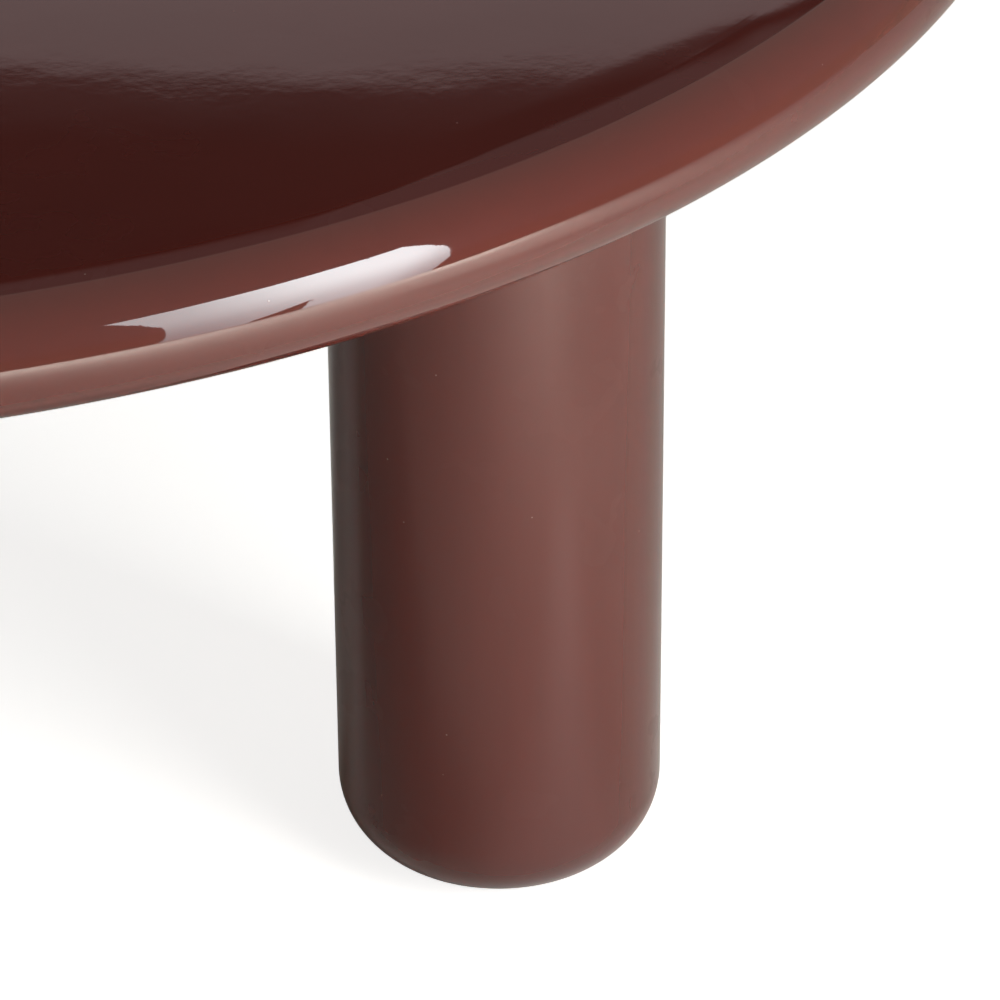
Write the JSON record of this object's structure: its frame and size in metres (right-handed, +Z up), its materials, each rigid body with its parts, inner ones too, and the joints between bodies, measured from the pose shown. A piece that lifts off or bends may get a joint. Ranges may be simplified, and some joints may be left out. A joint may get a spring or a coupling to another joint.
{
  "type": "round cocktail table",
  "caption": "Low round table: a flat top with a shallow bevel and a full bullnose rim, on thick round column legs with rounded feet and screw-in levelling glides.",
  "frame": {"origin": "on the floor under the middle of the top, on the table's axis", "axes": "+Z up along the table's axis; the legs stand on the diagonals of X and Y; -Y is the front"},
  "size_m": [1.067, 1.0669, 0.381],
  "materials": {
    "lacquer": "high-gloss oxblood lacquer over wood and board",
    "sealed_board": "satin dark sealer over thin board",
    "core_board": "raw board, sawn edges",
    "zinc_steel": "zinc-plated steel",
    "nylon": "black nylon"
  },
  "bodies": {
    "table": {"rim_ring": "lacquer", "top_panel": "lacquer", "leg_front_right": "lacquer", "leg_back_right": "lacquer", "leg_back_left": "lacquer", "leg_front_left": "lacquer", "cross_rail_under": "core_board", "cross_rail_over": "core_board", "leg_block_front_right": "core_board", "leg_block_back_right": "core_board", "leg_block_back_left": "core_board", "leg_block_front_left": "core_board", "hanger_bolts": "zinc_steel", "plate_screws": "zinc_steel", "mounting_plate_front_right": "zinc_steel", "mounting_plate_back_right": "zinc_steel", "mounting_plate_back_left": "zinc_steel", "mounting_plate_front_left": "zinc_steel", "foot_insert_front_right": "zinc_steel", "foot_insert_back_right": "zinc_steel", "foot_insert_back_left": "zinc_steel", "foot_insert_front_left": "zinc_steel", "underside_panel": "sealed_board"},
    "leveller_front_right": {"leveller_stud_front_right": "zinc_steel", "leveller_pad_front_right": "nylon"},
    "leveller_back_right": {"leveller_stud_back_right": "zinc_steel", "leveller_pad_back_right": "nylon"},
    "leveller_back_left": {"leveller_stud_back_left": "zinc_steel", "leveller_pad_back_left": "nylon"},
    "leveller_front_left": {"leveller_stud_front_left": "zinc_steel", "leveller_pad_front_left": "nylon"}
  },
  "joints": [
    {"name": "leveller_front_right_travel", "type": "slide", "parent": "table", "child": "leveller_front_right", "axis": [0, 0, -1], "range_m": [0, 0.008]},
    {"name": "leveller_back_right_travel", "type": "slide", "parent": "table", "child": "leveller_back_right", "axis": [0, 0, -1], "range_m": [0, 0.008]},
    {"name": "leveller_back_left_travel", "type": "slide", "parent": "table", "child": "leveller_back_left", "axis": [0, 0, -1], "range_m": [0, 0.008]},
    {"name": "leveller_front_left_travel", "type": "slide", "parent": "table", "child": "leveller_front_left", "axis": [0, 0, -1], "range_m": [0, 0.008]}
  ]
}
